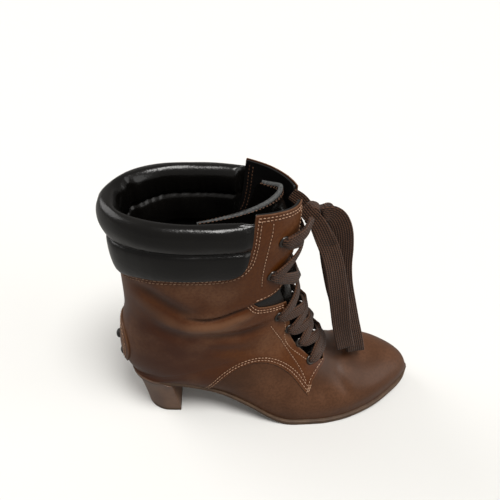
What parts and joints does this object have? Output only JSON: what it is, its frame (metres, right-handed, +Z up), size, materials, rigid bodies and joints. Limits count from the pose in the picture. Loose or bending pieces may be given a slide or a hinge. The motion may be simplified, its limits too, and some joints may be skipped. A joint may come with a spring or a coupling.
{
  "type": "lace-up heeled ankle boot",
  "caption": "Women's lace-up ankle boot for the right foot, brown leather with a black padded collar, tied in a bow, on a covered block heel.",
  "frame": {"origin": "centre of the flat resting face under the heel, on the floor", "axes": "+X toward the toe, +Y toward the inner (big toe) side, +Z up from the floor"},
  "size_m": [0.2477, 0.0856, 0.2065],
  "materials": {
    "brown_leather": "satin",
    "black_leather": "gloss",
    "heel_cover": "satin",
    "sole_rubber": "matte",
    "insole_board": "matte",
    "lace_textile": "matte",
    "eyelet_metal": "satin",
    "stud_rubber": "satin"
  },
  "bodies": {
    "root": {"outsole": "sole_rubber", "heel_block": "heel_cover", "heel_top_lift": "sole_rubber", "insole": "insole_board", "upper": "brown_leather", "padded_collar": "black_leather", "tongue": "black_leather", "heel_patch": "brown_leather", "heel_stud_upper": "stud_rubber", "heel_stud_lower": "stud_rubber", "lacing": "lace_textile", "lace_knot": "lace_textile", "lace_loop_outer": "lace_textile", "lace_loop_inner": "lace_textile", "lace_end_outer": "lace_textile", "lace_end_inner": "lace_textile", "eyelet_outer_1": "eyelet_metal", "eyelet_outer_2": "eyelet_metal", "eyelet_outer_3": "eyelet_metal", "eyelet_outer_4": "eyelet_metal", "eyelet_outer_5": "eyelet_metal", "eyelet_outer_6": "eyelet_metal", "eyelet_inner_1": "eyelet_metal", "eyelet_inner_2": "eyelet_metal", "eyelet_inner_3": "eyelet_metal", "eyelet_inner_4": "eyelet_metal", "eyelet_inner_5": "eyelet_metal", "eyelet_inner_6": "eyelet_metal"}
  },
  "joints": []
}
